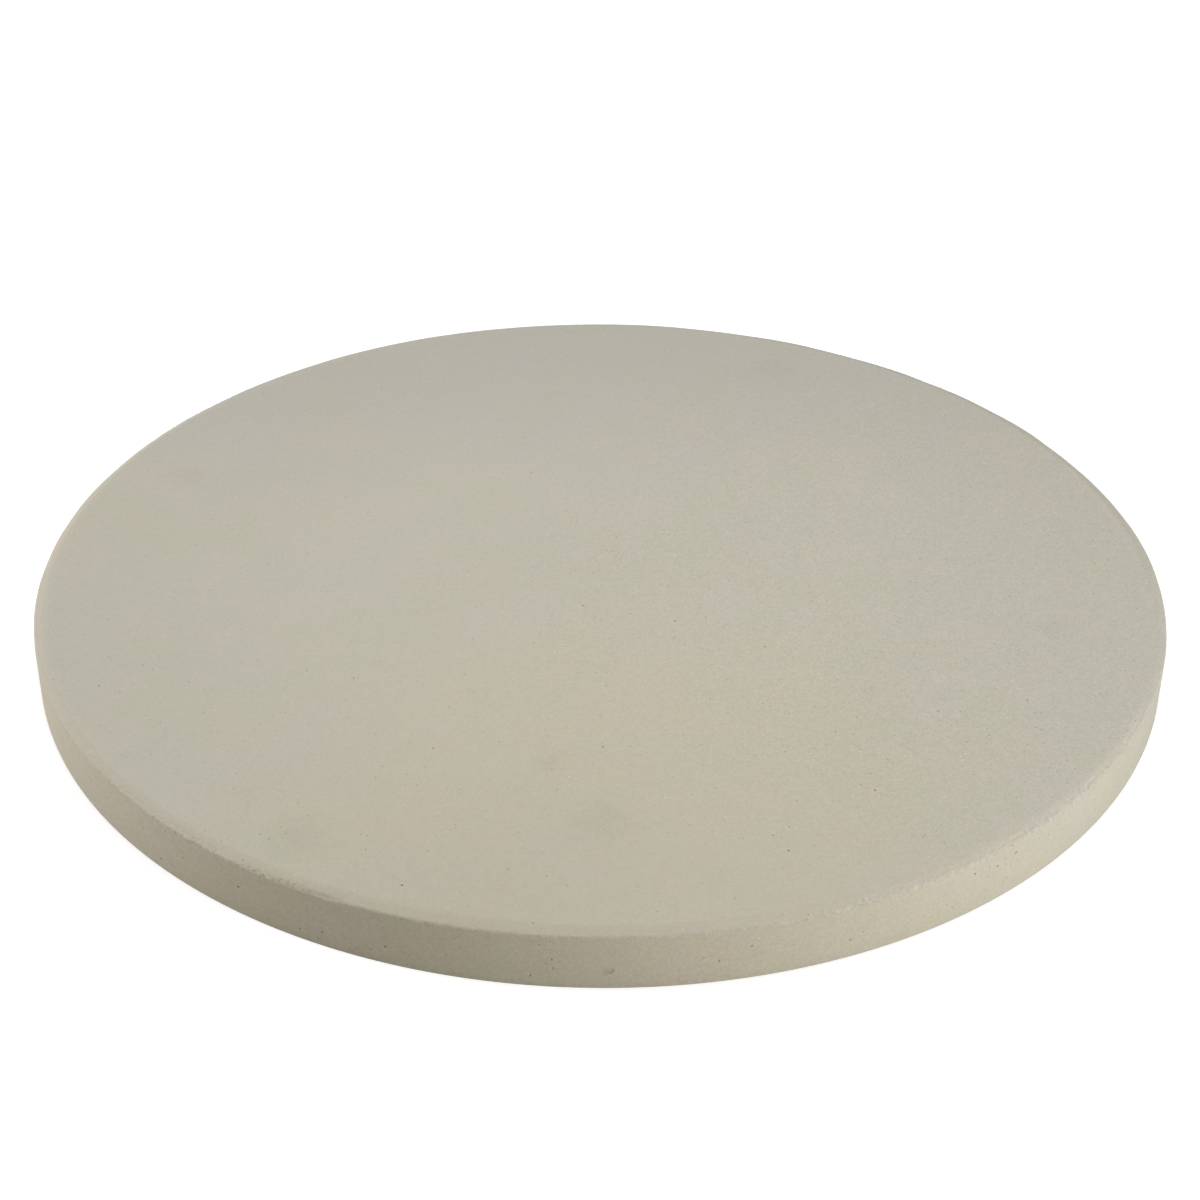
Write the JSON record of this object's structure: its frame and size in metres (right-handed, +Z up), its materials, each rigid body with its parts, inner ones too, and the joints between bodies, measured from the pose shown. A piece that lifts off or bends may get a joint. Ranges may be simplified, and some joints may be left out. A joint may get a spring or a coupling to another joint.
{
  "type": "pizza stone",
  "caption": "Round flat baking slab of matt fired cordierite, with a shallow sloped shoulder and a rounded crest round its baking face and a plain upright side wall.",
  "frame": {"origin": "centre of the flat underside, on which the stone rests", "axes": "+Z up, out of the baking face; the stone is round about Z"},
  "size_m": [0.3799, 0.38, 0.02],
  "materials": {
    "cordierite": "matte"
  },
  "bodies": {
    "root": {"baking_stone": "cordierite"}
  },
  "joints": []
}
